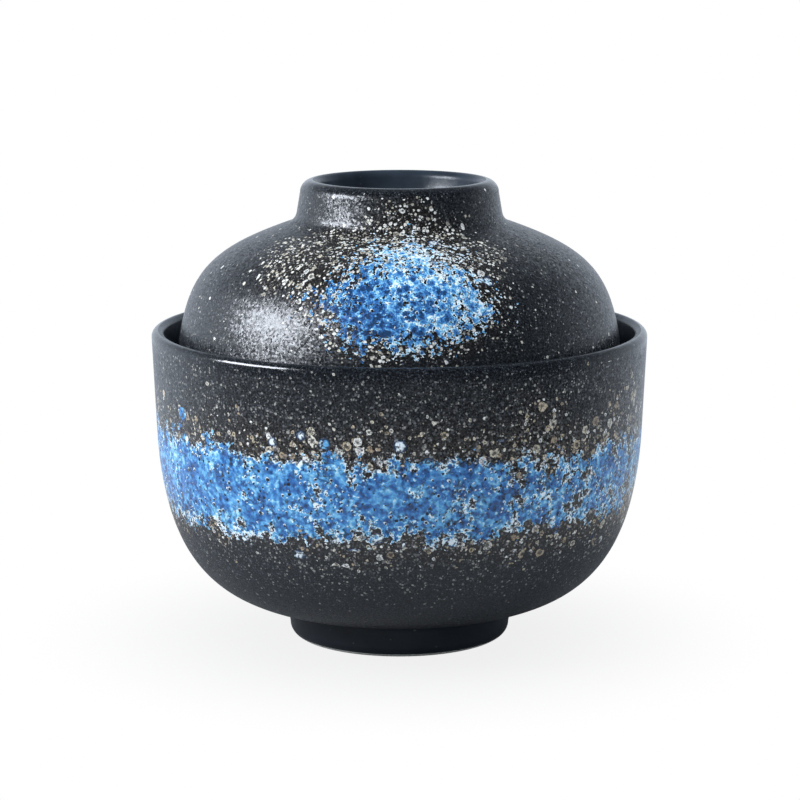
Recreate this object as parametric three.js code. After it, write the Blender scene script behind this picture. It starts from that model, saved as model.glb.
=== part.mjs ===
// A lidded bowl in glazed stoneware: a deep bowl on a foot ring, and a domed lid with a grip ring
// that drops into the bowl's mouth and rests on its tapered inner wall.
// Millimetres, +Z up. The origin is on the table, at the centre of the foot ring.

import * as THREE from 'three';

// Bowl, outside
const rimRadius = 62.5; // outside of the lip
const bowlHeight = 79.2; // table to the top of the lip
const wallDraft = 2.55; // degrees that the upper wall leans out
const straightWall = 24.9; // top of the lip to where the wall starts to turn in
const bellyFullness = 0.86; // 0 to 1, how far the wall carries down into the belly's curve
const underAngle = 9; // degrees that the underside rises away from the foot
const underFullness = 0.525; // 0 to 1, how far the underside carries out into the belly's curve

// Bowl, clay
const wallThickness = 5.6; // body of the bowl
const floorThickness = 5.8; // at the middle of the floor
const lipThickness = 3.2; // across the rounded lip
const mouthDepth = 12; // top of the lip to where the mouth's inner taper reaches the full wall

// Foot ring
const footRadius = 28.8; // where the foot meets the underside
const footHeight = 8.4; // table to the underside
const footTaper = 0.8; // how much narrower the foot is near the table
const footEdgeRadius = 3.1; // rounding of the foot's outer edge
const footLandWidth = 2.8; // flat ring that stands on the table
const footInnerRounding = 1.2; // rounding of the foot's inner edge
const footFillet = 1.6; // foot to underside
const recessFillet = 2; // foot's inner wall to the base

// Lid
const lidThickness = 4.6; // dome and rounded edge
const seatRise = 1.8; // bottom of the mouth's taper to the middle of the lid's edge
const seatClearance = 0.3; // between the lid's edge and the mouth's taper
const skirtDraft = 5.5; // degrees that the lid's side leans in
const domeRise = 37.4; // middle of the lid's edge to the foot of the grip ring
const domeAngle = 19.9; // degrees that the dome falls away from the grip ring
const domeFullness = 0.825; // 0 to 1, how far the dome carries out into the shoulder
const shoulderFullness = 0.87; // 0 to 1, how far the lid's side carries up into the shoulder

// Grip ring on the lid
const ringRadius = 24.95; // outside, under the rounded top
const ringHeight = 10.3; // above the dome
const ringTaper = 1.2; // how much wider the ring is where it meets the dome
const ringOuterRounding = 3.2;
const ringInnerRounding = 1.9;
const ringInnerDraft = 8; // degrees that the ring's inner wall closes in towards its floor
const ringFillet = 2.2; // ring to dome
const ringFloorFillet = 2.5; // ring's inner wall to its floor

// Fineness of the surfaces
const turnSegments = 64;
const curveSteps = 10;
const roundingSteps = 3;
const leastSpacing = 0.02; // points of a profile that are closer than this are one point

const point = (r, z) => new THREE.Vector2(r, z);
const radians = THREE.MathUtils.degToRad;

// Unit vector in the profile plane, at an angle above the outward direction
const heading = (degrees) => point(Math.cos(radians(degrees)), Math.sin(radians(degrees)));

const along = (from, direction, distance) => from.clone().addScaledVector(direction, distance);

// Where the line through p along u meets the line through q along v
function meet(p, u, q, v) {
  const between = q.clone().sub(p);
  return along(p, u, between.cross(v) / u.cross(v));
}

// Round stretch from one angle to a larger one, in degrees
function arc(centre, radius, fromDegrees, toDegrees, steps = roundingSteps) {
  const from = radians(fromDegrees);
  const to = radians(toDegrees);
  return new THREE.EllipseCurve(centre.x, centre.y, radius, radius, from, to).getPoints(steps);
}

// Soft corner between two straight stretches
const softCorner = (from, corner, to) =>
  new THREE.QuadraticBezierCurve(from, corner, to).getPoints(roundingSteps);

// Curve that leaves one line and joins another, drawn towards the corner where the lines meet
function sweep(from, corner, to, fullnessFrom, fullnessTo) {
  const first = from.clone().lerp(corner, fullnessFrom);
  const second = to.clone().lerp(corner, fullnessTo);
  return new THREE.CubicBezierCurve(from, first, second, to);
}

// Points of a curve moved to its left by the thickness of the clay
function offsetPoints(curve, thickness) {
  const points = [];
  for (let step = 0; step <= curveSteps; step++) {
    const tangent = curve.getTangent(step / curveSteps);
    const left = point(-tangent.y, tangent.x);
    points.push(along(curve.getPoint(step / curveSteps), left, thickness));
  }
  return points;
}

// Curve from a sloping point in to the axis, level where it gets there
function levelToAxis(from, riseDegrees) {
  const level = from.y + (from.x / 2) * Math.tan(radians(riseDegrees));
  return softCorner(from, point(from.x / 2, level), point(0, level));
}

// Solid of revolution about Z from a profile that starts and ends on the axis
function turned(name, profile, material) {
  const spaced = profile.filter((p, i) => i === 0 || p.distanceTo(profile[i - 1]) > leastSpacing);
  const geometry = new THREE.LatheGeometry(spaced, turnSegments);
  geometry.rotateX(Math.PI / 2);
  const mesh = new THREE.Mesh(geometry, material);
  mesh.name = name;
  return mesh;
}

// Outer wall and lip of the bowl
const lipRadius = lipThickness / 2;
const lipCentre = point(rimRadius - lipRadius, bowlHeight - lipRadius);
const wallUp = heading(90 - wallDraft);
const wallTop = point(rimRadius, lipCentre.y);
const wallAt = (z) => along(wallTop, wallUp, (z - wallTop.y) / wallUp.y);

// Taper inside the mouth, from the thin lip down to the full wall, which carries the lid
const mouthTop = point(rimRadius - lipThickness, lipCentre.y);
const mouthBottom = wallAt(bowlHeight - mouthDepth);
mouthBottom.x -= wallThickness / wallUp.y;
const mouthTaper = Math.atan2(mouthTop.x - mouthBottom.x, mouthTop.y - mouthBottom.y);

function makeBowl() {
  // Outside, from the foot's corner up the belly to the straight wall
  const footCorner = point(footRadius, footHeight);
  const underOut = heading(underAngle);
  const underStart = along(footCorner, underOut, footFillet);
  const wallStart = wallAt(bowlHeight - straightWall);
  const bellyCorner = meet(footCorner, underOut, wallStart, wallUp);
  const belly = sweep(underStart, bellyCorner, wallStart, underFullness, bellyFullness);

  // Inside, the same belly one wall in, levelling out to the floor
  const innerBelly = offsetPoints(belly, wallThickness).reverse();
  const floor = levelToAxis(innerBelly.at(-1), -underAngle);

  // Underneath, the ring that stands on the table and the recess inside it
  const footBase = point(footRadius - footTaper, footEdgeRadius);
  const footUp = footCorner.clone().sub(footBase).normalize();
  const landOuter = footBase.x - footEdgeRadius;
  const landInner = landOuter - footLandWidth;
  const recessRadius = landInner - footInnerRounding;
  const recessTop = floor.at(-1).y - floorThickness;
  const recessRounding = Math.min(recessFillet, recessTop - footInnerRounding);

  const profile = [
    point(0, recessTop),
    ...softCorner(
      point(recessRadius - recessRounding, recessTop),
      point(recessRadius, recessTop),
      point(recessRadius, recessTop - recessRounding),
    ),
    ...arc(point(landInner, footInnerRounding), footInnerRounding, 180, 270),
    ...arc(point(landOuter, footEdgeRadius), footEdgeRadius, 270, 360),
    ...softCorner(along(footCorner, footUp, -footFillet), footCorner, underStart),
    ...belly.getPoints(curveSteps),
    ...arc(lipCentre, lipRadius, 0, 180, 2 * roundingSteps),
    mouthBottom,
    ...innerBelly,
    ...floor,
  ];
  const glaze = new THREE.MeshStandardMaterial({ color: 0x2c2b2e, roughness: 0.42, metalness: 0 });
  return turned('bowl', profile, glaze);
}

// The lid is drawn about the middle of its rounded edge, then set down into the mouth
function makeLid() {
  const edgeRadius = lidThickness / 2;
  const edgeGap = (edgeRadius + seatClearance) / Math.cos(mouthTaper);
  const seatRadius = mouthBottom.x + seatRise * Math.tan(mouthTaper);
  const edgeCentre = point(seatRadius - edgeGap, 0);

  // Outside, from the edge up the side and over the shoulder to the foot of the grip ring
  const skirtStart = along(edgeCentre, heading(skirtDraft), edgeRadius);
  const skirtUp = heading(90 + skirtDraft);
  const ringCorner = point(ringRadius + ringTaper, domeRise);
  const domeOut = heading(-domeAngle);
  const domeEnd = along(ringCorner, domeOut, ringFillet);
  const shoulderCorner = meet(ringCorner, domeOut, skirtStart, skirtUp);
  const dome = sweep(skirtStart, shoulderCorner, domeEnd, shoulderFullness, domeFullness);

  // Inside, the same dome one thickness in, levelling out under the grip ring
  const innerDome = offsetPoints(dome, lidThickness);
  const ceiling = levelToAxis(innerDome.at(-1), domeAngle);

  // Grip ring, open at the top, with its floor one thickness above the ceiling
  const ringTop = domeRise + ringHeight;
  const outerCentre = point(ringRadius - ringOuterRounding, ringTop - ringOuterRounding);
  const innerCentre = point(outerCentre.x, ringTop - ringInnerRounding);
  const ringSide = point(ringRadius, outerCentre.y).sub(ringCorner).normalize();
  const ringFloor = ceiling.at(-1).y + lidThickness;
  const innerTop = point(innerCentre.x - ringInnerRounding, innerCentre.y);
  const innerDown = heading(-90 - ringInnerDraft);
  const floorCorner = meet(innerTop, innerDown, point(0, ringFloor), heading(0));
  const floorRounding = Math.min(ringFloorFillet, floorCorner.distanceTo(innerTop));

  const profile = [
    ...ceiling.reverse(),
    ...innerDome.reverse(),
    ...arc(edgeCentre, edgeRadius, 180 + skirtDraft, 360 + skirtDraft, 2 * roundingSteps),
    ...dome.getPoints(curveSteps),
    ...softCorner(domeEnd, ringCorner, along(ringCorner, ringSide, ringFillet)),
    ...arc(outerCentre, ringOuterRounding, 0, 90),
    ...arc(innerCentre, ringInnerRounding, 90, 180),
    ...softCorner(
      along(floorCorner, innerDown, -floorRounding),
      floorCorner,
      point(floorCorner.x - floorRounding, ringFloor),
    ),
    point(0, ringFloor),
  ];
  const glaze = new THREE.MeshStandardMaterial({ color: 0x2e2c2d, roughness: 0.4, metalness: 0 });
  const lid = turned('lid', profile, glaze);
  lid.position.z = mouthBottom.y + seatRise;
  return lid;
}

const liddedBowl = new THREE.Group();
liddedBowl.add(makeBowl(), makeLid());

export default liddedBowl;
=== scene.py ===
# A stoneware bowl with a domed lid, in a black speckled glaze with clouds of blue.
# Lengths in the settings are millimetres; -Y is the front, and the foot stands on z = 0.
import math

import bmesh
import bpy
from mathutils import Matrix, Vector
from mathutils.geometry import interpolate_bezier, intersect_line_line


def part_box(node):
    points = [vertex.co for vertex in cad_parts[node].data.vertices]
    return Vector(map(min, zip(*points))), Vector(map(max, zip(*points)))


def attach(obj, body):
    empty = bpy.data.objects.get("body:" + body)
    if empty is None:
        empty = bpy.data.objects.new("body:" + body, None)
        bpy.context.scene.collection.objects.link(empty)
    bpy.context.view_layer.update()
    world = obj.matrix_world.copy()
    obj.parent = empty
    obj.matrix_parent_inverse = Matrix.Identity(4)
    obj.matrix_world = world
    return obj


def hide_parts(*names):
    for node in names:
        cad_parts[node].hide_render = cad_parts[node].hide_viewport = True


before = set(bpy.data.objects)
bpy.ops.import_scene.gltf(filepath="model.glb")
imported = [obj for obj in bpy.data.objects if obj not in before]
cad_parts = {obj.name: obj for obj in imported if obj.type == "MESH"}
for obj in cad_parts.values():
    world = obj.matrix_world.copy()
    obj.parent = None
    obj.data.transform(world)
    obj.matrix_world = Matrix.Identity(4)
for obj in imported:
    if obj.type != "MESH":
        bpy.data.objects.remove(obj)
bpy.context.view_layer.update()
scene = bpy.context.scene
scene.view_settings.view_transform = "Standard"
print("frame loaded:", ", ".join(sorted(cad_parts)))

mm = 0.001
roundFull = 0.5523  # handle length that makes a quarter circle
softFull = 2 / 3  # handle length of a soft fillet


def linear(hexColour):
    channels = [int(hexColour[i:i + 2], 16) / 255 for i in (1, 3, 5)]
    return [c / 12.92 if c <= 0.04045 else ((c + 0.055) / 1.055) ** 2.4 for c in channels] + [1.0]


# adds a shader node, sets its options, fills or links its inputs, and gives back its outputs
def addNode(tree, kind, inputs=None, stops=None, **options):
    node = tree.nodes.new("ShaderNode" + kind)
    for option, value in options.items():
        setattr(node, option, value)
    for key, value in (inputs or {}).items():
        if isinstance(value, bpy.types.NodeSocket):
            tree.links.new(value, node.inputs[key])
        else:
            node.inputs[key].default_value = value
    if stops:  # colour ramp: position and hex colour, in place of the two it starts with
        ramp = node.color_ramp.elements
        for position, colour in stops.items():
            ramp.new(position).color = linear(colour)
        ramp.remove(ramp[0])
        ramp.remove(ramp[-1])
    return node.outputs


# a material with its shader, and the place on the piece in millimetres
def newFinish(name):
    material = bpy.data.materials.new(name)
    material.use_nodes = True
    tree = material.node_tree
    objectPlace = addNode(tree, "TexCoord")["Object"]
    place = addNode(tree, "VectorMath", {0: objectPlace, "Scale": 1 / mm}, operation="SCALE")[0]
    print("finish:", name)
    return material, tree, tree.nodes["Principled BSDF"], place


# a point of a turned profile, from its radius and height in millimetres
def at(radius, height):
    return Vector((radius, 0, height))


def heading(degrees):
    return at(math.cos(math.radians(degrees)), math.sin(math.radians(degrees)))


# where the line through p along u crosses the line through q along v
def meet(p, u, q, v):
    return intersect_line_line(p, p + u, q, q + v)[0]


# a curve from start to end, pulled towards the corner between them
def sweep(start, corner, end, fullStart=softFull, fullEnd=softFull, points=9):
    return interpolate_bezier(start, start.lerp(corner, fullStart), end.lerp(corner, fullEnd), end, points)


# the same curve one clay thickness to its left
def oneWallIn(curve, thickness):
    moved = []
    for i, p in enumerate(curve):
        ahead = curve[min(i + 1, len(curve) - 1)] - curve[max(i - 1, 0)]
        moved.append(p + at(-ahead.z, ahead.x).normalized() * thickness)
    return moved


# turns each stretch of a profile about Z; every stretch has its own finish
def throwPiece(name, stretches, turns=128, seam=0.003):
    bm = bmesh.new()
    finishes = []
    for finish, profile in stretches:
        if finish not in finishes:
            finishes.append(finish)
        ring = [bm.verts.new(p * mm) for p in profile]
        edges = [bm.edges.new(pair) for pair in zip(ring, ring[1:])]
        already = set(bm.faces)
        bmesh.ops.spin(bm, geom=ring + edges, cent=(0, 0, 0), axis=(0, 0, 1), angle=math.tau,
                       steps=turns, use_merge=True)
        for face in set(bm.faces) - already:
            face.material_index = finishes.index(finish)
    bmesh.ops.remove_doubles(bm, verts=bm.verts, dist=seam * mm)
    bmesh.ops.recalc_face_normals(bm, faces=bm.faces)
    for face in bm.faces:
        face.smooth = True
    mesh = bpy.data.meshes.new(name)
    bm.to_mesh(mesh)
    bm.free()
    for finish in finishes:
        mesh.materials.append(finish)
    piece = bpy.data.objects.new(name, mesh)
    scene.collection.objects.link(piece)
    print(name, "turned:", len(mesh.polygons), "faces")
    return piece


# Reactive stoneware glaze. Iron black, satin, grainy like fine orange peel; a second glaze that
# was sprayed on breaks into blue clouds with pale rims and pinholes, and into cream specks.
glazeColours = {
    "black": "#07090c",
    "charcoal": "#25292e",
    "fleck": "#65676b",
    "soot": "#0a0806",
    "umber": "#2a231c",
    "rust": "#75695a",
    "teal": "#0c3a64",
    "deep": "#1c5c9e",
    "cobalt": "#387ebc",
    "sky": "#5eaadb",
    "pale": "#9ad3ea",
    "milk": "#ecf6f8",
}
grainTints = {0.1: "#414446", 0.5: "#626364", 0.9: "#96928a"}
blueTones = {0.16: "teal", 0.32: "deep", 0.48: "cobalt", 0.64: "sky", 0.8: "pale", 0.95: "milk"}

# what the glaze does on both pieces; spans are where an effect starts and where it is full
skin = {
    "groundStops": (0.42, 0.6, 0.8),  # of the grain, for the dark, middle and light of the ground
    "brownShare": 0.8,  # how brown the ground gets under the spray
    "stainShare": 0.8,  # how dark the teal gets that seeps out of the blue
    "specksInBlue": 0.15,  # share of the specks that show where the blue is thick
    "speckEdge": (-0.03, 0.05),  # mm inwards
    "crustSpan": (0.4, 0.54),  # of the grain, from worn through to whole
    "hollowSpan": (1.1, 1.35), "hollowRagged": 1.4, "hollowLeft": 0.1,  # middle of a ringed speck
    "blueEdge": (-0.15, 0.2),  # mm inwards
    "rimGaps": (0.36, 0.52), "creviceGaps": (0.54, 0.46),  # of the noise that breaks them up
    "creviceCore": 0.03,
    "pinholeReach": 0.8, "pinholeEdge": 0.06,  # mm
    "speckRelief": 0.015, "largeRelief": 0.03, "blueRelief": 0.05, "pinholeRelief": -0.12,  # mm
    "satin": (0.26, 0.38), "satinSpan": (0.3, 0.7), "lipGloss": 0.15,  # roughness, by the grain
    "ior": 1.75,  # rich in iron
}


# black ground, cloudy at the scale of its grain, browner where the spray fell
def groundCoat(tree, place, spray, looks):
    grain = addNode(tree, "TexNoise", {"Vector": place, "Scale": 1 / looks["grainSize"], "Detail": 2.0,
                                       "Roughness": 0.65})["Fac"]
    grounds = []
    for tints in (("black", "charcoal", "fleck"), ("soot", "umber", "rust")):
        stops = {stop: glazeColours[tint] for stop, tint in zip(skin["groundStops"], tints)}
        grounds.append(addNode(tree, "ValToRGB", {0: grain}, stops)[0])
    fallen = addNode(tree, "MapRange", {"Value": spray, "From Min": -looks["haloReach"], "From Max": 0.0,
                                        "To Max": skin["brownShare"]}, interpolation_type="SMOOTHSTEP")[0]
    return addNode(tree, "Mix", {0: fallen, 6: grounds[0], 7: grounds[1]}, data_type="RGBA")[2], grain


# specks of one kind: cells of the given spacing, some of which hold a speck, the largest hollow
def speckCoat(tree, coat, colour, specks, tints, looks):
    spacing = specks["spacing"]
    cells = addNode(tree, "TexVoronoi", {"Vector": coat["drawn"], "Scale": 1 / spacing, "Randomness": 0.85})
    random = addNode(tree, "SeparateColor", {"Color": cells["Color"]})
    chance = addNode(tree, "MapRange",
                     {"Value": coat["spray"], "From Min": -looks["haloReach"], "From Max": 0.0,
                      "To Min": specks["chanceFar"], "To Max": specks["chanceNear"]},
                     interpolation_type="SMOOTHSTEP")[0]
    chance = addNode(tree, "Math", {0: chance, 1: coat["allowed"]}, operation="MULTIPLY")[0]
    there = addNode(tree, "Math", {0: random["Red"], 1: chance}, operation="LESS_THAN")[0]
    spread = addNode(tree, "Math", {0: random["Green"], 1: specks["mostSmall"]}, operation="POWER")[0]
    radius = addNode(tree, "MapRange", {"Value": spread, "To Min": specks["smallest"],
                                        "To Max": specks["largest"]})[0]
    inward = addNode(tree, "Math", {0: cells["Distance"], 1: -spacing, 2: radius},
                     operation="MULTIPLY_ADD")[0]
    start, full = skin["speckEdge"]
    speck = addNode(tree, "MapRange", {"Value": inward, "From Min": start, "From Max": full},
                    interpolation_type="SMOOTHSTEP")[0]
    share = addNode(tree, "Math", {0: inward, 1: radius}, operation="DIVIDE")[0]
    share = addNode(tree, "Math", {0: coat["grain"], 1: skin["hollowRagged"], 2: share},
                    operation="MULTIPLY_ADD")[0]
    start, full = skin["hollowSpan"]
    hollow = addNode(tree, "MapRange", {"Value": share, "From Min": start, "From Max": full,
                                        "To Min": 1.0, "To Max": skin["hollowLeft"]})[0]
    ringed = addNode(tree, "Math", {0: random["Green"], 1: 1 - specks["ringed"]},
                     operation="GREATER_THAN")[0]
    hollow = addNode(tree, "Mix", {0: ringed, 2: 1.0, 3: hollow})[0]
    start, full = skin["crustSpan"]
    crust = addNode(tree, "MapRange", {"Value": coat["grain"], "From Min": start, "From Max": full,
                                       "To Min": 1 - specks["crust"]})[0]
    for mask in (there, hollow, crust):
        speck = addNode(tree, "Math", {0: speck, 1: mask}, operation="MULTIPLY")[0]
    tint = addNode(tree, "ValToRGB", {0: random["Blue"]}, tints)[0]
    return addNode(tree, "Mix", {0: speck, 6: colour, 7: tint}, data_type="RGBA")[2], speck


# how far inside the blue a point is, in mm, with lumps on its edge and islands beyond it
def blueDepth(tree, drawn, zone, looks):
    depth = zone
    for size, reach in looks["lumps"]:
        lump = addNode(tree, "TexNoise", {"Vector": drawn, "Scale": 1 / size, "Detail": 1.0})["Fac"]
        lump = addNode(tree, "Math", {0: lump, 1: 2 * reach, 2: -reach}, operation="MULTIPLY_ADD")[0]
        depth = addNode(tree, "Math", {0: depth, 1: lump}, operation="ADD")[0]
    islands = looks["islands"]
    cells = addNode(tree, "TexVoronoi", {"Vector": drawn, "Scale": 1 / islands["spacing"],
                                         "Randomness": 0.6})
    random = addNode(tree, "SeparateColor", {"Color": cells["Color"]})
    radius = addNode(tree, "MapRange", {"Value": random["Green"], "To Min": islands["smallest"],
                                        "To Max": islands["largest"]})[0]
    inward = addNode(tree, "Math", {0: cells["Distance"], 1: -islands["spacing"], 2: radius},
                     operation="MULTIPLY_ADD")[0]
    chance = addNode(tree, "MapRange", {"Value": zone, "From Min": -islands["reach"], "From Max": 0.0,
                                        "To Max": islands["chance"]})[0]
    missing = addNode(tree, "Math", {0: random["Red"], 1: chance}, operation="GREATER_THAN")[0]
    inward = addNode(tree, "Math", {0: missing, 1: -islands["sunk"], 2: inward},
                     operation="MULTIPLY_ADD")[0]
    return addNode(tree, "Math", {0: depth, 1: inward}, operation="MAXIMUM")[0]


# blue clouds, thin and pale at their rims
def blueCoat(tree, place, drawn, colour, depth, looks):
    tone = looks["tone"]
    for size, weight in looks["clouds"]:
        curd = addNode(tree, "TexNoise", {"Vector": place, "Scale": 1 / size, "Detail": 3.0})["Fac"]
        cloud = addNode(tree, "Math", {0: curd, 1: weight, 2: -weight / 2}, operation="MULTIPLY_ADD")[0]
        tone = addNode(tree, "Math", {0: cloud, 1: tone}, operation="ADD")[0]
    patchy = addNode(tree, "TexNoise", {"Vector": place, "Scale": 1 / looks["rimPatch"],
                                        "Detail": 1.0})["Fac"]
    start, full = skin["rimGaps"]
    patchy = addNode(tree, "MapRange", {"Value": patchy, "From Min": start, "From Max": full})[0]
    rim = addNode(tree, "MapRange", {"Value": depth, "From Min": looks["rimWidth"], "From Max": 0.0,
                                     "To Max": looks["rimPale"]})[0]
    tone = addNode(tree, "Math", {0: rim, 1: patchy, 2: tone}, operation="MULTIPLY_ADD")[0]
    blobs = looks["blobs"]
    cells = addNode(tree, "TexVoronoi", {"Vector": drawn, "Scale": 1 / blobs["spacing"]})
    random = addNode(tree, "SeparateColor", {"Color": cells["Color"]})
    for value, middle, weight in ((random["Red"], 0.5, blobs["spread"]),
                                  (cells["Distance"], 0.55, blobs["paleEdge"])):
        tone = addNode(tree, "Math", {0: value, 1: weight, 2: tone}, operation="MULTIPLY_ADD")[0]
        tone = addNode(tree, "Math", {0: tone, 1: middle * weight}, operation="SUBTRACT")[0]
    parts = addNode(tree, "SeparateXYZ", {0: place})
    for axis, low, high, gain in looks["thinning"]:
        thin = addNode(tree, "MapRange", {"Value": parts[axis], "From Min": low, "From Max": high,
                                          "To Min": -gain / 2, "To Max": gain / 2})[0]
        tone = addNode(tree, "Math", {0: tone, 1: thin}, operation="ADD")[0]
    stops = {stop: glazeColours[tint] for stop, tint in blueTones.items()}
    shade = addNode(tree, "ValToRGB", {0: tone}, stops)[0]
    edges = addNode(tree, "TexVoronoi", {"Vector": drawn, "Scale": 1 / blobs["spacing"]},
                    feature="DISTANCE_TO_EDGE")["Distance"]
    crevice = addNode(tree, "MapRange", {"Value": edges, "From Min": blobs["crevice"] / blobs["spacing"],
                                         "From Max": skin["creviceCore"]})[0]
    parted = addNode(tree, "MapRange", {"Value": depth, "From Min": blobs["creviceDepth"],
                                        "From Max": 0.0})[0]
    start, full = skin["creviceGaps"]
    broken = addNode(tree, "MapRange", {"Value": curd, "From Min": start, "From Max": full})[0]
    for mask in (parted, broken):
        crevice = addNode(tree, "Math", {0: crevice, 1: mask}, operation="MULTIPLY")[0]
    black, teal = linear(glazeColours["black"]), linear(glazeColours["teal"])
    shade = addNode(tree, "Mix", {0: crevice, 6: shade, 7: black}, data_type="RGBA")[2]
    stain = addNode(tree, "MapRange", {"Value": depth, "From Min": -looks["stainReach"], "From Max": 0.0,
                                       "To Max": skin["stainShare"]}, interpolation_type="SMOOTHSTEP")[0]
    colour = addNode(tree, "Mix", {0: stain, 6: colour, 7: teal}, data_type="RGBA")[2]
    start, full = skin["blueEdge"]
    blue = addNode(tree, "MapRange", {"Value": depth, "From Min": start, "From Max": full},
                   interpolation_type="SMOOTHSTEP")[0]
    return addNode(tree, "Mix", {0: blue, 6: colour, 7: shade}, data_type="RGBA")[2], blue


# pinholes that burst through the blue, most where it is thin, and many with a painted highlight: a pale
# crescent on the lip of the hole, on the side towards the lamp, up and to the left
def pinholeCoat(tree, drawn, colour, depth, looks):
    pins = looks["pinholes"]
    cells = addNode(tree, "TexVoronoi", {"Vector": drawn, "Scale": 1 / pins["spacing"], "Randomness": 0.9})
    random = addNode(tree, "SeparateColor", {"Color": cells["Color"]})
    radius = addNode(tree, "MapRange", {"Value": random["Green"], "To Min": pins["smallest"],
                                        "To Max": pins["largest"]})[0]
    outward = addNode(tree, "Math", {0: cells["Distance"], 1: pins["spacing"]}, operation="MULTIPLY")[0]
    outward = addNode(tree, "Math", {0: outward, 1: radius}, operation="SUBTRACT")[0]
    chance = addNode(tree, "MapRange", {"Value": depth, "From Min": pins["deep"], "From Max": 0.0,
                                        "To Min": pins["chanceDeep"], "To Max": pins["chance"]})[0]
    there = addNode(tree, "Math", {0: random["Red"], 1: chance}, operation="LESS_THAN")[0]
    near = addNode(tree, "MapRange", {"Value": depth, "From Min": -skin["pinholeReach"],
                                      "From Max": 0.0})[0]
    there = addNode(tree, "Math", {0: there, 1: near}, operation="MULTIPLY")[0]
    # the pale lip is a painted highlight: a disc shifted towards the lamp, which shows as a crescent on the
    # lit side of the hole
    paintedGlintPlace = addNode(tree, "VectorMath", {0: drawn, 1: pins["paintedGlintOffset"]}, operation="SUBTRACT")[0]
    lip = addNode(tree, "TexVoronoi", {"Vector": paintedGlintPlace, "Scale": 1 / pins["spacing"],
                                       "Randomness": 0.9})["Distance"]
    lip = addNode(tree, "Math", {0: lip, 1: pins["spacing"]}, operation="MULTIPLY")[0]
    lip = addNode(tree, "Math", {0: lip, 1: radius}, operation="SUBTRACT")[0]
    ring = addNode(tree, "MapRange", {"Value": lip, "From Min": pins["ring"], "From Max": 0.0})[0]
    ringed = addNode(tree, "Math", {0: random["Blue"], 1: 1 - pins["ringed"]}, operation="GREATER_THAN")[0]
    for mask in (ringed, there):
        ring = addNode(tree, "Math", {0: ring, 1: mask}, operation="MULTIPLY")[0]
    edge = skin["pinholeEdge"]
    hole = addNode(tree, "MapRange", {"Value": outward, "From Min": edge, "From Max": -edge})[0]
    hole = addNode(tree, "Math", {0: hole, 1: there}, operation="MULTIPLY")[0]
    # the painted highlight crescent in milk, then the hole in black over it
    for mask, tint in ((ring, "milk"), (hole, "black")):
        colour = addNode(tree, "Mix", {0: mask, 6: colour, 7: linear(glazeColours[tint])},
                         data_type="RGBA")[2]
    return colour, hole


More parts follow.
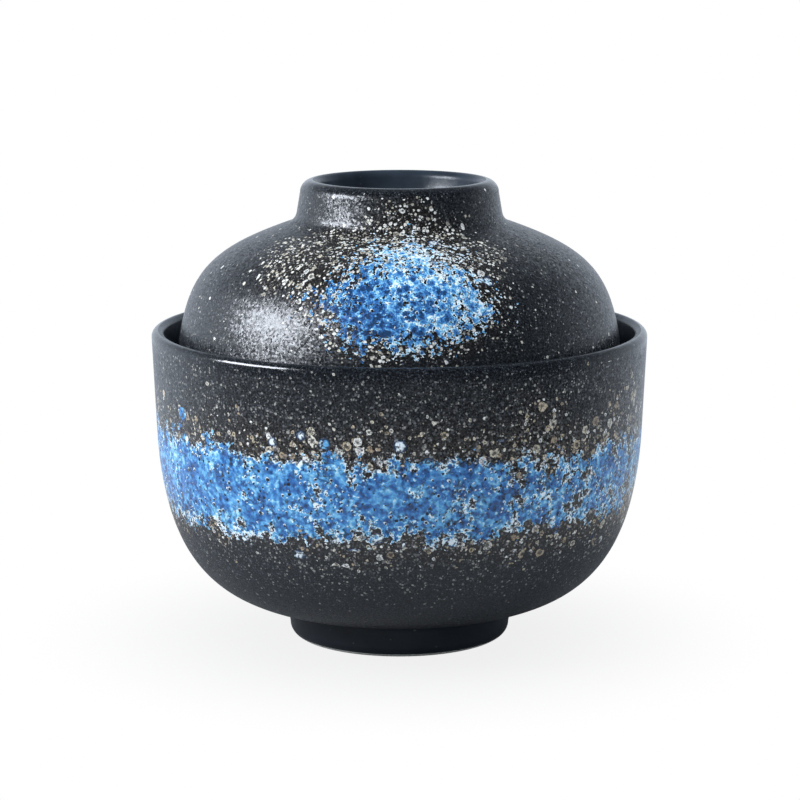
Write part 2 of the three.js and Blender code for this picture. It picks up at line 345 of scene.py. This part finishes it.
def reactiveGlaze(name, looks, zoneFrom):
    material, tree, shader, place = newFinish(name)
    zone, spray = zoneFrom(tree, place)
    height = addNode(tree, "SeparateXYZ", {0: place})["Z"]
    # the wet glaze ran a little: its pattern is drawn out down the slope, by squeezing the radius
    radius = addNode(tree, "VectorMath", {0: place, 1: (1, 1, 0)}, operation="MULTIPLY")[0]
    radius = addNode(tree, "VectorMath", {0: radius}, operation="LENGTH")["Value"]
    runs = looks["runs"]
    squeeze = addNode(tree, "Math", {0: (1 - runs) * looks["runRadius"], 1: radius}, operation="DIVIDE")[0]
    squeeze = addNode(tree, "Math", {0: squeeze, 1: runs}, operation="ADD")[0]
    squeeze = addNode(tree, "Math", {0: squeeze, 1: 1.0}, operation="MINIMUM")[0]
    squeeze = addNode(tree, "CombineXYZ", {0: squeeze, 1: squeeze, 2: 1.0})[0]
    place = addNode(tree, "VectorMath", {0: place, 1: squeeze}, operation="MULTIPLY")[0]
    # specks, pinholes and lumps have uneven outlines: the place they are drawn at is shaken a little
    shake = addNode(tree, "TexNoise", {"Vector": place, "Scale": 1 / looks["shakeSize"],
                                       "Detail": 3.0})["Color"]
    shake = addNode(tree, "VectorMath", {0: shake, 1: (0.5, 0.5, 0.5)}, operation="SUBTRACT")[0]
    shake = addNode(tree, "VectorMath", {0: shake, "Scale": looks["shake"]}, operation="SCALE")[0]
    drawn = addNode(tree, "VectorMath", {0: place, 1: shake}, operation="ADD")[0]

    # the spray fell in gusts, and left the lip and the lowest part clear
    scatter = addNode(tree, "TexNoise", {"Vector": place, "Scale": 1 / looks["scatterSize"],
                                         "Detail": 1.0})["Fac"]
    reach = looks["scatterReach"]
    scatter = addNode(tree, "Math", {0: scatter, 1: 2 * reach, 2: -reach}, operation="MULTIPLY_ADD")[0]
    spray = addNode(tree, "Math", {0: scatter, 1: spray}, operation="ADD")[0]
    colour, grain = groundCoat(tree, place, spray, looks)
    sprayed = addNode(tree, "MapRange", {"Value": height, "From Min": looks["lipTop"],
                                         "From Max": looks["lipTop"] - looks["lipSmooth"]},
                      interpolation_type="SMOOTHSTEP")[0]
    outside = addNode(tree, "MapRange", {"Value": zone, "From Min": 0.0, "From Max": looks["mostDepth"],
                                         "To Min": 1.0, "To Max": skin["specksInBlue"]})[0]
    allowed = addNode(tree, "Math", {0: sprayed, 1: outside}, operation="MULTIPLY")[0]
    low, high, left = looks["clearBelow"]
    clear = addNode(tree, "MapRange", {"Value": height, "From Min": low, "From Max": high, "To Min": left},
                    interpolation_type="SMOOTHSTEP")[0]
    allowed = addNode(tree, "Math", {0: allowed, 1: clear}, operation="MULTIPLY")[0]
    coat = {"drawn": drawn, "spray": spray, "allowed": allowed, "grain": grain}
    colour, _ = speckCoat(tree, coat, colour, looks["grains"], grainTints, looks)
    colour, fine = speckCoat(tree, coat, colour, looks["fineSpecks"], looks["speckTints"], looks)
    colour, large = speckCoat(tree, coat, colour, looks["largeSpecks"], looks["speckTints"], looks)
    depth = blueDepth(tree, drawn, zone, looks)
    colour, blue = blueCoat(tree, place, drawn, colour, depth, looks)
    colour, hole = pinholeCoat(tree, drawn, colour, depth, looks)

    # satin skin of crystals, each tilted its own way, which makes the gloss sparkle; real ones are a
    # few hundredths of a millimetre, and these are drawn coarser so that they show
    crystals = addNode(tree, "TexVoronoi", {"Vector": place, "Scale": 1 / looks["crystalSize"]})["Color"]
    tilt = addNode(tree, "VectorMath", {0: crystals, 1: (0.5, 0.5, 0.5)}, operation="SUBTRACT")[0]
    tilting = addNode(tree, "Math", {0: sprayed, 1: looks["crystalTilt"]}, operation="MULTIPLY")[0]
    tilt = addNode(tree, "VectorMath", {0: tilt, "Scale": tilting}, operation="SCALE")[0]
    smooth = addNode(tree, "NewGeometry")["Normal"]
    tilted = addNode(tree, "VectorMath", {0: smooth, 1: tilt}, operation="ADD")[0]
    tilted = addNode(tree, "VectorMath", {0: tilted}, operation="NORMALIZE")[0]

    # relief in mm: a soft unevenness; specks and blue stand up, pinholes sink
    swell = addNode(tree, "TexNoise", {"Vector": place, "Scale": 1 / looks["swellSize"],
                                       "Detail": 1.0})["Fac"]
    relief = addNode(tree, "Math", {0: swell, 1: looks["swellHeight"]}, operation="MULTIPLY")[0]
    for mask, rise in ((fine, "speckRelief"), (large, "largeRelief"), (blue, "blueRelief"),
                       (hole, "pinholeRelief")):
        relief = addNode(tree, "Math", {0: mask, 1: skin[rise], 2: relief}, operation="MULTIPLY_ADD")[0]
    bump = addNode(tree, "Bump", {"Height": relief, "Distance": mm, "Strength": 1.0, "Normal": tilted})[0]
    start, full = skin["satinSpan"]
    least, most = skin["satin"]
    roughness = addNode(tree, "MapRange", {"Value": grain, "From Min": start, "From Max": full,
                                           "To Min": least, "To Max": most})[0]
    roughness = addNode(tree, "Mix", {0: sprayed, 2: skin["lipGloss"], 3: roughness})[0]
    tree.links.new(colour, shader.inputs["Base Color"])
    tree.links.new(roughness, shader.inputs["Roughness"])
    tree.links.new(bump, shader.inputs["Normal"])
    shader.inputs["IOR"].default_value = skin["ior"]
    return material


# Black glaze that was poured or dipped, not sprayed: smooth, deep, with a little iron dust in it
plain = {
    "poolSize": 9, "poolSpan": (0.35, 0.7),  # thick to thin
    "dust": "#5b5a55", "dustSpacing": 1.9, "dustRadius": 0.34,
    "dustFrom": 0.55, "dustEdge": 0.05,  # share of the cells that hold none, and of a cell
    "peelSize": 1.6, "peelHeight": 0.03,
    "gloss": (0.26, 0.38),  # roughness
    "ior": 1.5,
}


def plainGlaze(name, thin, thick):
    material, tree, shader, place = newFinish(name)
    pool = addNode(tree, "TexNoise", {"Vector": place, "Scale": 1 / plain["poolSize"],
                                      "Detail": 3.0})["Fac"]
    start, full = plain["poolSpan"]
    tone = addNode(tree, "ValToRGB", {0: pool}, {start: thick, full: thin})[0]
    peel = addNode(tree, "TexNoise", {"Vector": place, "Scale": 1 / plain["peelSize"],
                                      "Detail": 1.0})["Fac"]
    cells = addNode(tree, "TexVoronoi", {"Vector": place, "Scale": 1 / plain["dustSpacing"]})
    random = addNode(tree, "SeparateColor", {"Color": cells["Color"]})
    radius = addNode(tree, "MapRange", {"Value": random["Red"],
                                        "From Min": plain["dustFrom"], "From Max": 1.0,
                                        "To Max": plain["dustRadius"] / plain["dustSpacing"]})[0]
    inward = addNode(tree, "Math", {0: radius, 1: cells["Distance"]}, operation="SUBTRACT")[0]
    dust = addNode(tree, "MapRange", {"Value": inward, "From Min": 0.0, "From Max": plain["dustEdge"]})[0]
    tone = addNode(tree, "Mix", {0: dust, 6: tone, 7: linear(plain["dust"])}, data_type="RGBA")[2]
    relief = addNode(tree, "Math", {0: peel, 1: plain["peelHeight"]}, operation="MULTIPLY")[0]
    bump = addNode(tree, "Bump", {"Height": relief, "Distance": mm, "Strength": 1.0})[0]
    least, most = plain["gloss"]
    roughness = addNode(tree, "MapRange", {"Value": peel, "To Min": least, "To Max": most})[0]
    tree.links.new(tone, shader.inputs["Base Color"])
    tree.links.new(roughness, shader.inputs["Roughness"])
    tree.links.new(bump, shader.inputs["Normal"])
    shader.inputs["IOR"].default_value = plain["ior"]
    return material


# Bare fired stoneware where a ring stood in the kiln: dry, pale grey-buff, sandy
bare = {
    "sandSize": 0.6, "sandHeight": 0.08,
    "tints": {0.3: "#c4c1b7", 0.65: "#efede5"},
    "rough": 0.85, "ior": 1.5,
}


def bareStoneware():
    material, tree, shader, place = newFinish("bareStoneware")
    sand = addNode(tree, "TexNoise", {"Vector": place, "Scale": 1 / bare["sandSize"], "Detail": 3.0,
                                      "Roughness": 0.6})["Fac"]
    tone = addNode(tree, "ValToRGB", {0: sand}, bare["tints"])[0]
    relief = addNode(tree, "Math", {0: sand, 1: bare["sandHeight"]}, operation="MULTIPLY")[0]
    bump = addNode(tree, "Bump", {"Height": relief, "Distance": mm, "Strength": 1.0})[0]
    tree.links.new(tone, shader.inputs["Base Color"])
    tree.links.new(bump, shader.inputs["Normal"])
    shader.inputs["Roughness"].default_value = bare["rough"]
    shader.inputs["IOR"].default_value = bare["ior"]
    return material


liner = plainGlaze("blackLinerGlaze", "#303a44", "#212932")
footGlaze = plainGlaze("blackFootGlaze", "#20262d", "#161b21")
bareClay = bareStoneware()

# Bowl: the rim and height come from the frame, the rest is the drawn profile
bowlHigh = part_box("bowl")[1]
bowl = {
    "rimRadius": bowlHigh[0] / mm,
    "height": bowlHigh[2] / mm,
    "wallDraft": 2.55,  # degrees
    "straightWall": 24.9,
    "bellyFull": 0.86,
    "underAngle": 9,  # degrees
    "underFull": 0.525,
    "wall": 5.6,
    "floor": 5.8,
    "lip": 3.2,
    "mouthDepth": 12,
    "footRadius": 28.8,
    "footHeight": 8.4,
    "footTaper": 0.8,
    "footEdge": 3.1,
    "footLand": 2.8,
    "footInnerEdge": 1.2,
    "footFillet": 1.6,
    "recessFillet": 2,
    "bareHeight": 1.0,  # unglazed above the table
}

bowlLooks = {
    "lipTop": bowl["height"], "lipSmooth": 5,
    "clearBelow": (17, 31, 0.1),  # specks thin out between these heights, to this share
    "grainSize": 0.45,
    "crystalSize": 0.4, "crystalTilt": 0.23,
    "swellSize": 3, "swellHeight": 0.06,
    "runs": 0.6, "runRadius": bowl["rimRadius"],
    "shakeSize": 0.85, "shake": 0.75,
    # spray: how far it reaches past the blue, and how unevenly
    "haloReach": 15, "scatterSize": 9, "scatterReach": 9,
    "sprayAbove": 0.95, "sprayBelow": 1.15,  # how fast the specks thin out, against the blue
    "spraySwell": -2.0,  # the specks are thickest where the blue is thinnest
    "speckTints": {0.05: "#a8947a", 0.35: "#cdbb9b", 0.6: "#e2dac6", 0.85: "#f3f1ea"},
    "grains": {"spacing": 0.6, "chanceFar": 0.6, "chanceNear": 1.0, "smallest": 0.1, "largest": 0.4,
               "mostSmall": 2.2, "ringed": 0.0, "crust": 0.0},
    "fineSpecks": {"spacing": 1.1, "chanceFar": 0.02, "chanceNear": 0.95, "smallest": 0.12, "largest": 0.56,
                   "mostSmall": 2.2, "ringed": 0.2, "crust": 0.6},
    "largeSpecks": {"spacing": 2.6, "chanceFar": 0.0, "chanceNear": 0.85, "smallest": 0.35, "largest": 1.4,
                    "mostSmall": 1.5, "ringed": 0.6, "crust": 0.9},
    # blue: where the band lies, its ragged edge, and how it curdles
    "bandMiddle": 47, "bandHalf": 8.5, "bandSwell": 1.8, "bandSwellTurn": 75,
    "mostDepth": 3.2,
    "lumps": ((8, 4.5), (2.8, 6), (1.0, 4), (0.45, 2)),  # size and reach
    "islands": {"spacing": 6, "chance": 0.5, "reach": 9, "smallest": 0.8, "largest": 2.1, "sunk": 9},
    "tone": 0.5,  # 0 dark to 1 pale
    "clouds": ((6, 0.95), (1.1, 0.75)),  # size and weight
    "thinning": (),
    "rimPatch": 5, "rimWidth": 2.0, "rimPale": 0.75,
    "blobs": {"spacing": 1.5, "spread": 0.28, "paleEdge": 0.25, "crevice": 0.36, "creviceDepth": 7.5},
    "stainReach": 0.5,
    # pinholes, many with a painted highlight: a pale crescent shifted towards the lamp, up and to the left
    "pinholes": {"spacing": 1.25, "chance": 1.0, "chanceDeep": 0.5, "deep": 5,
                 "smallest": 0.14, "largest": 0.42,
                 "ring": 0.12, "ringed": 0.6, "paintedGlintOffset": (-0.12, 0, 0.16)},
}


# depth inside the band that rings the bowl, for the blue and then for the spray; negative outside
def bandZone(tree, place):
    parts = addNode(tree, "SeparateXYZ", {0: place})
    front = addNode(tree, "Math", {0: parts["Y"], 1: -1.0}, operation="MULTIPLY")[0]
    turn = addNode(tree, "Math", {0: parts["X"], 1: front}, operation="ARCTAN2")[0]
    turn = addNode(tree, "Math", {0: turn, 1: math.radians(bowlLooks["bandSwellTurn"])}, operation="ADD")[0]
    swell = addNode(tree, "Math", {0: turn}, operation="COSINE")[0]
    off = addNode(tree, "Math", {0: parts["Z"], 1: bowlLooks["bandMiddle"]}, operation="SUBTRACT")[0]
    zones = []
    for above, below, swing in ((1, 1, "bandSwell"),
                                (bowlLooks["sprayAbove"], bowlLooks["sprayBelow"], "spraySwell")):
        up = addNode(tree, "Math", {0: off, 1: above}, operation="MULTIPLY")[0]
        down = addNode(tree, "Math", {0: off, 1: -below}, operation="MULTIPLY")[0]
        away = addNode(tree, "Math", {0: up, 1: down}, operation="MAXIMUM")[0]
        zone = addNode(tree, "Math", {0: bowlLooks["bandHalf"], 1: away}, operation="SUBTRACT")[0]
        zone = addNode(tree, "Math", {0: zone, 1: bowlLooks["mostDepth"]}, operation="MINIMUM")[0]
        zones.append(addNode(tree, "Math", {0: swell, 1: bowlLooks[swing], 2: zone},
                             operation="MULTIPLY_ADD")[0])
    return zones


def makeBowl():
    rim, height, lipRadius = bowl["rimRadius"], bowl["height"], bowl["lip"] / 2
    wallUp = heading(90 - bowl["wallDraft"])
    wallTop = at(rim, height - lipRadius)
    lipTop = at(rim - lipRadius, height)
    mouthTop = at(rim - bowl["lip"], height - lipRadius)

    def wallAt(z):
        return wallTop + wallUp * ((z - wallTop.z) / wallUp.z)

    # outside
    footCorner = at(bowl["footRadius"], bowl["footHeight"])
    footBase = at(bowl["footRadius"] - bowl["footTaper"], bowl["footEdge"])
    footUp = (footCorner - footBase).normalized()
    underOut = heading(bowl["underAngle"])
    underStart = footCorner + underOut * bowl["footFillet"]
    wallStart = wallAt(height - bowl["straightWall"])
    bellyCorner = meet(footCorner, underOut, wallStart, wallUp)
    belly = sweep(underStart, bellyCorner, wallStart, bowl["underFull"], bowl["bellyFull"], 60)

    # inside
    mouthBottom = wallAt(height - bowl["mouthDepth"]) - at(bowl["wall"] / wallUp.z, 0)
    innerBelly = oneWallIn(belly, bowl["wall"])[::-1]
    floorEdge = innerBelly[-1]
    floorLevel = floorEdge.z - floorEdge.x / 2 * math.tan(math.radians(bowl["underAngle"]))
    floor = sweep(floorEdge, at(floorEdge.x / 2, floorLevel), at(0, floorLevel), points=20)

    # underneath
    landOuter = at(footBase.x - bowl["footEdge"], 0)
    landInner = landOuter - at(bowl["footLand"], 0)
    recessWall = landInner.x - bowl["footInnerEdge"]
    recessTop = floorLevel - bowl["floor"]
    recessRound = min(bowl["recessFillet"], recessTop - bowl["footInnerEdge"])
    recess = sweep(at(recessWall - recessRound, recessTop), at(recessWall, recessTop),
                   at(recessWall, recessTop - recessRound))
    innerEdge = sweep(at(recessWall, bowl["footInnerEdge"]), at(recessWall, 0), landInner,
                      roundFull, roundFull)
    outerEdge = sweep(landOuter, at(footBase.x, 0), footBase, roundFull, roundFull, 24)
    bareEdge = [p for p in outerEdge if p.z <= bowl["bareHeight"]]
    glazedEdge = outerEdge[len(bareEdge) - 1:]
    footTop = sweep(footCorner - footUp * bowl["footFillet"], footCorner, underStart)
    lipOut = sweep(wallTop, at(rim, height), lipTop, roundFull, roundFull)
    lipIn = sweep(lipTop, at(mouthTop.x, height), mouthTop, roundFull, roundFull)
    wall = [wallStart.lerp(wallTop, i / 12) for i in range(1, 12)]

    glaze = reactiveGlaze("reactiveBowlGlaze", bowlLooks, bandZone)
    return throwPiece("glazedBowl", [
        (glaze, belly + wall + lipOut),
        (footGlaze, glazedEdge + footTop),
        (liner, lipIn + [mouthBottom] + innerBelly + floor[1:]),
        (bareClay, innerEdge + bareEdge),
        (footGlaze, [at(0, recessTop)] + recess + innerEdge[:1]),
    ])


bowlPiece = makeBowl()
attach(bowlPiece, "bowl_body")
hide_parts("bowl")

# Lid: its edge and top come from the frame
lidLow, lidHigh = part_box("lid")
lid = {
    "edgeRadius": lidHigh[0] / mm,
    "bottom": lidLow[2] / mm,
    "top": lidHigh[2] / mm,
    "thick": 4.6,
    "skirtDraft": 5.5,  # degrees
    "domeAngle": 19.9,  # degrees
    "domeFull": 0.825,
    "shoulderFull": 0.87,
    "ringRadius": 24.95,
    "ringHeight": 10.3,
    "ringTaper": 1.2,
    "ringOuterEdge": 3.2,
    "ringInnerEdge": 1.9,
    "ringInnerDraft": 8,  # degrees
    "ringFillet": 2.2,
    "ringFloorFillet": 2.5,
    "bareOut": 4, "bareIn": 5,  # points along the edge's two curves that part the glaze and bare clay
}

lidLooks = {
    "lipTop": lid["top"], "lipSmooth": 2.6,
    "clearBelow": (66, 74, 0.6),
    "grainSize": 0.42,
    "crystalSize": 0.4, "crystalTilt": 0.23,
    "swellSize": 3, "swellHeight": 0.06,
    "runs": 0.45, "runRadius": 42,
    "shakeSize": 0.65, "shake": 0.65,
    # spray and blue are ellipsoids: middle, half size, and the depth at the middle
    "sprays": (((-6, -37, 100), (24, 18, 8), 12), ((1, -47, 92), (18, 22, 10), 12),
               ((2, -29, 106), (9, 8, 5), 6)),
    "haloReach": 7, "scatterSize": 8, "scatterReach": 5,
    "speckTints": {0.05: "#a39c8c", 0.3: "#d3cab4", 0.5: "#e4dece", 0.8: "#f0ede4"},
    "grains": {"spacing": 0.6, "chanceFar": 0.5, "chanceNear": 0.9, "smallest": 0.1, "largest": 0.28,
               "mostSmall": 2.2, "ringed": 0.0, "crust": 0.0},
    "fineSpecks": {"spacing": 0.85, "chanceFar": 0.02, "chanceNear": 1.3, "smallest": 0.14, "largest": 0.5,
                   "mostSmall": 2.2, "ringed": 0.0, "crust": 0.4},
    "largeSpecks": {"spacing": 1.9, "chanceFar": 0.0, "chanceNear": 0.8, "smallest": 0.3, "largest": 0.8,
                    "mostSmall": 2.2, "ringed": 0.3, "crust": 0.7},
    "patches": (((1, -47, 92), (18, 22, 9.5), 12), ((1, -37, 100), (9, 8, 4.5), 5)),
    "mostDepth": 4.5,
    "lumps": ((5, 6), (1.4, 8), (0.7, 6)),
    "islands": {"spacing": 4, "chance": 0.5, "reach": 5, "smallest": 0.5, "largest": 1.3, "sunk": 9},
    "tone": 0.69,
    "clouds": ((6, 0.7), (0.8, 0.8), (0.35, 0.8)),
    "thinning": (("Z", 95, 105, 0.42), ("X", -14, 18, 0.3)),  # axis, from, to, and how much paler
    "rimPatch": 4, "rimWidth": 2.5, "rimPale": 0.55,
    "blobs": {"spacing": 1.4, "spread": 0.5, "paleEdge": 0.75, "crevice": 0.26, "creviceDepth": 9},
    "stainReach": 0.5,
    # pinholes, many with a painted highlight: a pale crescent shifted towards the lamp, up and to the left
    "pinholes": {"spacing": 1.2, "chance": 0.75, "chanceDeep": 0.45, "deep": 6,
                 "smallest": 0.15, "largest": 0.34,
                 "ring": 0.12, "ringed": 0.5, "paintedGlintOffset": (-0.12, 0.08, 0.1)},
}


# depth inside a few ellipsoids, negative outside
def insideOf(tree, place, ellipsoids):
    zone = -100.0
    for middle, half, depth in ellipsoids:
        away = addNode(tree, "VectorMath", {0: place, 1: middle}, operation="SUBTRACT")[0]
        away = addNode(tree, "VectorMath", {0: away, 1: half}, operation="DIVIDE")[0]
        reach = addNode(tree, "VectorMath", {0: away}, operation="LENGTH")["Value"]
        patch = addNode(tree, "Math", {0: reach, 1: -depth, 2: depth}, operation="MULTIPLY_ADD")[0]
        zone = addNode(tree, "Math", {0: patch, 1: zone}, operation="MAXIMUM")[0]
    return zone


# the blue patch on the front of the lid, and the wider spray of specks over it
def patchZone(tree, place):
    zone = insideOf(tree, place, lidLooks["patches"])
    zone = addNode(tree, "Math", {0: zone, 1: lidLooks["mostDepth"]}, operation="MINIMUM")[0]
    return zone, insideOf(tree, place, lidLooks["sprays"])


def makeLid():
    edge = lid["thick"] / 2
    edgeMiddle = at(lid["edgeRadius"] - edge, lid["bottom"] + edge)
    skirtOut = heading(lid["skirtDraft"])
    skirtUp = heading(90 + lid["skirtDraft"])
    skirtStart = edgeMiddle + skirtOut * edge
    edgeLow = edgeMiddle - skirtUp * edge
    edgeIn = edgeMiddle - skirtOut * edge

    # outside
    ringCorner = at(lid["ringRadius"] + lid["ringTaper"], lid["top"] - lid["ringHeight"])
    domeOut = heading(-lid["domeAngle"])
    domeEnd = ringCorner + domeOut * lid["ringFillet"]
    shoulder = meet(ringCorner, domeOut, skirtStart, skirtUp)
    dome = sweep(skirtStart, shoulder, domeEnd, lid["shoulderFull"], lid["domeFull"], 60)

    # inside
    innerDome = oneWallIn(dome, lid["thick"])
    ceilingEdge = innerDome[-1]
    ceilingLevel = ceilingEdge.z + ceilingEdge.x / 2 * math.tan(math.radians(lid["domeAngle"]))
    ceiling = sweep(ceilingEdge, at(ceilingEdge.x / 2, ceilingLevel), at(0, ceilingLevel), points=20)

    # grip ring
    ringSideTop = at(lid["ringRadius"], lid["top"] - lid["ringOuterEdge"])
    ringSide = (ringSideTop - ringCorner).normalized()
    crest = at(lid["ringRadius"] - lid["ringOuterEdge"], lid["top"])
    innerTop = at(crest.x - lid["ringInnerEdge"], lid["top"] - lid["ringInnerEdge"])
    innerDown = heading(-90 - lid["ringInnerDraft"])
    ringFloor = ceilingLevel + lid["thick"]
    floorCorner = meet(innerTop, innerDown, at(0, ringFloor), heading(0))
    floorRound = min(lid["ringFloorFillet"], (floorCorner - innerTop).length)
    ringFoot = sweep(domeEnd, ringCorner, ringCorner + ringSide * lid["ringFillet"])
    crestOut = sweep(ringSideTop, at(lid["ringRadius"], lid["top"]), crest, roundFull, roundFull, 12)
    crestIn = sweep(crest, at(innerTop.x, lid["top"]), innerTop, roundFull, roundFull)
    well = sweep(floorCorner - innerDown * floorRound, floorCorner,
                 at(floorCorner.x - floorRound, ringFloor))

    edgeOuter = sweep(edgeLow, edgeLow + skirtOut * edge, skirtStart, roundFull, roundFull)
    edgeInner = sweep(edgeIn, edgeIn - skirtUp * edge, edgeLow, roundFull, roundFull)

    bareOut, bareIn = lid["bareOut"], lid["bareIn"]
    glaze = reactiveGlaze("reactiveLidGlaze", lidLooks, patchZone)
    return throwPiece("glazedLid", [
        (glaze, edgeOuter[bareOut:] + dome[1:] + ringFoot[1:] + crestOut),
        (liner, crestIn + well + [at(0, ringFloor)]),
        (liner, ceiling[::-1] + innerDome[::-1][1:] + edgeInner[1:bareIn + 1]),
        (bareClay, edgeInner[bareIn:] + edgeOuter[1:bareOut + 1]),
    ])


lidPiece = makeLid()
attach(lidPiece, "lid_body")
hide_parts("lid")

# White table that fades into the white background, and keeps a soft shadow near the foot
studio = {
    "tableRadius": 190,
    "paper": "#868686", "paperRough": 0.9,
    "shadowReach": (28, 100),  # mm from the middle where the shadow is full and gone
    "mirrorReach": (90, 190),  # the same, as the glaze mirrors it
    "shadowShare": 0.15,
}


def makeTable():
    bm = bmesh.new()
    bmesh.ops.create_circle(bm, cap_ends=True, segments=96, radius=studio["tableRadius"] * mm)
    mesh = bpy.data.meshes.new("table")
    bm.to_mesh(mesh)
    bm.free()
    table = bpy.data.objects.new("table", mesh)
    scene.collection.objects.link(table)
    material = bpy.data.materials.new("whiteTablePaper")
    material.use_nodes = True
    tree = material.node_tree
    shader = tree.nodes["Principled BSDF"]
    shader.inputs["Base Color"].default_value = linear(studio["paper"])
    shader.inputs["Roughness"].default_value = studio["paperRough"]
    place = addNode(tree, "TexCoord")["Object"]
    distance = addNode(tree, "VectorMath", {0: place}, operation="LENGTH")["Value"]
    fades = []
    for near, far in (studio["shadowReach"], studio["mirrorReach"]):
        fades.append(addNode(tree, "MapRange",
                             {"Value": distance, "From Min": near * mm, "From Max": far * mm},
                             interpolation_type="SMOOTHSTEP")[0])
    path = addNode(tree, "LightPath")
    mirrored = addNode(tree, "Math", {0: path["Is Glossy Ray"], 1: path["Is Transmission Ray"]},
                       operation="MAXIMUM")[0]
    mirrored = addNode(tree, "Math", {0: mirrored, 1: fades[1]}, operation="MULTIPLY")[0]
    share = studio["shadowShare"]
    faint = addNode(tree, "Math", {0: fades[0], 1: share, 2: 1 - share}, operation="MULTIPLY_ADD")[0]
    share = addNode(tree, "Mix", {0: path["Is Camera Ray"], 2: mirrored, 3: faint})[0]
    white = addNode(tree, "Emission", {"Color": (1, 1, 1, 1), "Strength": 1.0})[0]
    mixed = addNode(tree, "MixShader", {0: share, 1: shader.outputs[0], 2: white})[0]
    tree.links.new(mixed, tree.nodes["Material Output"].inputs["Surface"])
    mesh.materials.append(material)
    print("table laid")


makeTable()

# Light: a softbox at the left, and an even room that is white behind the bowl and dark in front
softbox = {
    "from": (-0.60, -0.20, 0.36), "aim": (0, 0, 0.06), "size": (0.42, 0.24),  # metres
    "watts": 5.3, "tint": "#edf3fd",
}
room = {
    "fillBelow": 0.65, "fillAbove": 1.25, "fillRise": (-0.2, 0.9),  # soft light from all round
    "card": 1.3, "cardSpan": (0.0, 0.9),  # more of it from a pale card at the right
    "behind": 1.0, "front": 0.08, "above": 0.15, "right": 0.55,  # what the glaze mirrors
    "turn": (-0.35, 0.65), "rise": (0.1, 0.75), "across": (0.3, 1.0),  # where that changes
    "tint": "#e2edfb",
}


def makeLights():
    data = bpy.data.lights.new("softbox", "AREA")
    data.shape = "RECTANGLE"
    data.size, data.size_y = softbox["size"]
    data.energy = softbox["watts"]
    data.color = linear(softbox["tint"])[:3]
    lamp = bpy.data.objects.new("softbox", data)
    lamp.location = softbox["from"]
    aim = Vector(softbox["aim"]) - lamp.location
    lamp.rotation_euler = aim.to_track_quat("-Z", "Y").to_euler()
    scene.collection.objects.link(lamp)
    world = bpy.data.worlds.new("whiteRoom")
    world.use_nodes = True
    scene.world = world
    tree = world.node_tree
    background = tree.nodes["Background"]
    ray = addNode(tree, "TexCoord")["Generated"]
    ray = addNode(tree, "SeparateXYZ", {0: ray})
    level = 1.0
    for axis, span, first, last in (("Y", "turn", room["front"], room["behind"]),
                                    ("Z", "rise", 1.0, room["above"]),
                                    ("X", "across", 1.0, room["right"])):
        start, full = room[span]
        share = addNode(tree, "MapRange", {"Value": ray[axis], "From Min": start, "From Max": full,
                                           "To Min": first, "To Max": last},
                        interpolation_type="SMOOTHSTEP")[0]
        level = addNode(tree, "Math", {0: share, 1: level}, operation="MULTIPLY")[0]
    start, full = room["fillRise"]
    fill = addNode(tree, "MapRange", {"Value": ray["Z"], "From Min": start, "From Max": full,
                                      "To Min": room["fillBelow"], "To Max": room["fillAbove"]})[0]
    start, full = room["cardSpan"]
    card = addNode(tree, "MapRange", {"Value": ray["X"], "From Min": start, "From Max": full,
                                      "To Min": 1.0, "To Max": room["card"]})[0]
    fill = addNode(tree, "Math", {0: fill, 1: card}, operation="MULTIPLY")[0]
    path = addNode(tree, "LightPath")
    mirrored = addNode(tree, "Math", {0: path["Is Glossy Ray"], 1: path["Is Transmission Ray"]},
                       operation="MAXIMUM")[0]
    strength = addNode(tree, "Mix", {0: mirrored, 2: fill, 3: level})[0]
    seen = path["Is Camera Ray"]
    strength = addNode(tree, "Mix", {0: seen, 2: strength, 3: 1.0})[0]
    tint = addNode(tree, "Mix", {0: seen, 6: linear(room["tint"]), 7: (1, 1, 1, 1)}, data_type="RGBA")[2]
    tree.links.new(strength, background.inputs["Strength"])
    tree.links.new(tint, background.inputs["Color"])
    print("lights set")


makeLights()

# Camera: a long lens a little above the rim
view = {"from": (0.00014, -0.750, 0.1983), "pitch": -10.42, "lens": 135.1, "sensor": 36}  # m, degrees, mm


def makeCamera():
    data = bpy.data.cameras.new("camera")
    data.lens = view["lens"]
    data.sensor_width = view["sensor"]
    camera = bpy.data.objects.new("camera", data)
    camera.location = view["from"]
    camera.rotation_euler = (math.radians(90 + view["pitch"]), 0, 0)
    scene.collection.objects.link(camera)
    scene.camera = camera
    print("camera placed")


makeCamera()
